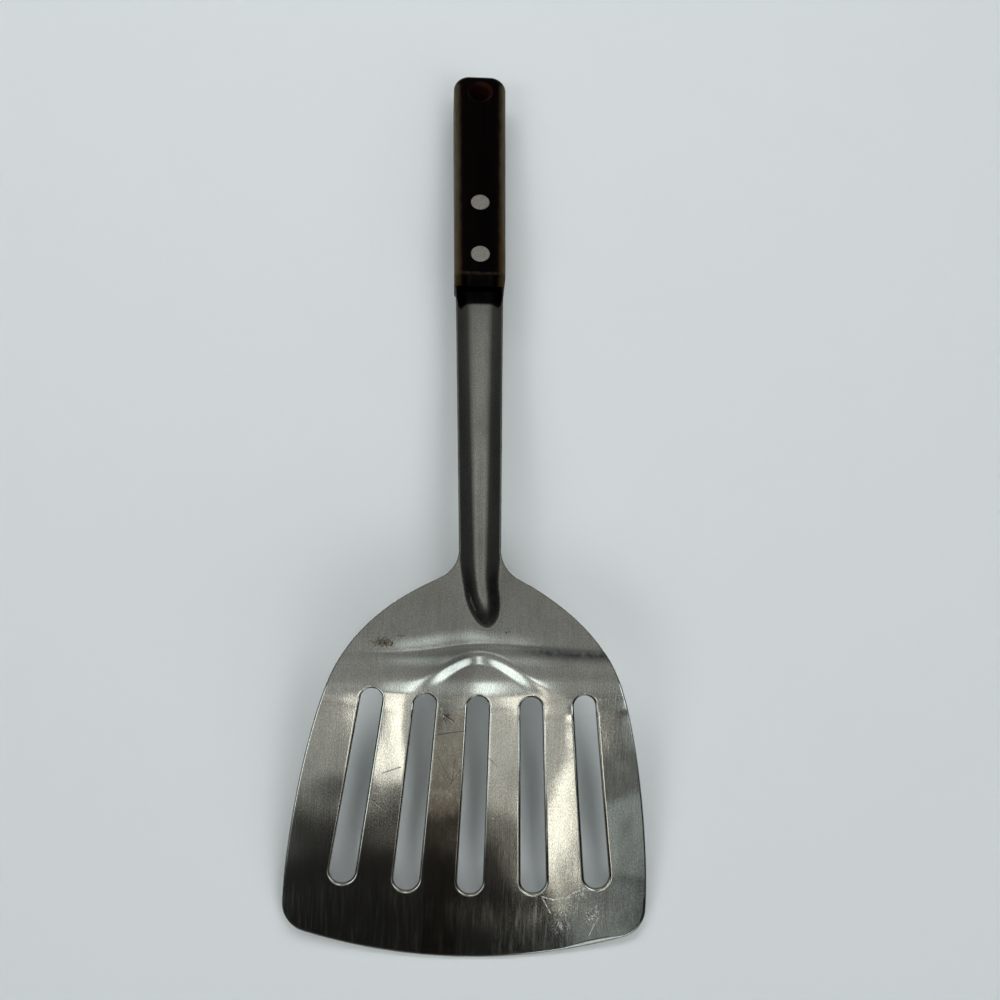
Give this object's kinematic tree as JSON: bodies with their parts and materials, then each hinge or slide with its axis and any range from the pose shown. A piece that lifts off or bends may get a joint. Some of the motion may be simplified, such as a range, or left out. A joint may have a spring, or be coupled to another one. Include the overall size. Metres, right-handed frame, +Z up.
{
  "type": "slotted spatula",
  "caption": "Slotted spatula with a fan-shaped, bent steel blade, a channelled shank and a riveted wooden handle, for turning food and letting it drain.",
  "frame": {"origin": "on the table, under the middle of the bounding box, as the spatula lies face down", "axes": "+Z up, +Y towards the handle's rear end, the blade's front edge at -Y, +X across the blade"},
  "size_m": [0.1204, 0.3376, 0.0348],
  "materials": {
    "steel": "worn brushed stainless steel with lengthwise grain and scratches",
    "wood": "dark red-brown close-grained hardwood, satin, worn lighter along the edges",
    "rivet": "satin light grey, ground flush"
  },
  "bodies": {
    "root": {"blade_and_shank": "steel", "handle": "wood", "front_rivet_socket": "rivet", "front_rivet_stud": "rivet", "rear_rivet_socket": "rivet", "rear_rivet_stud": "rivet"}
  },
  "joints": []
}
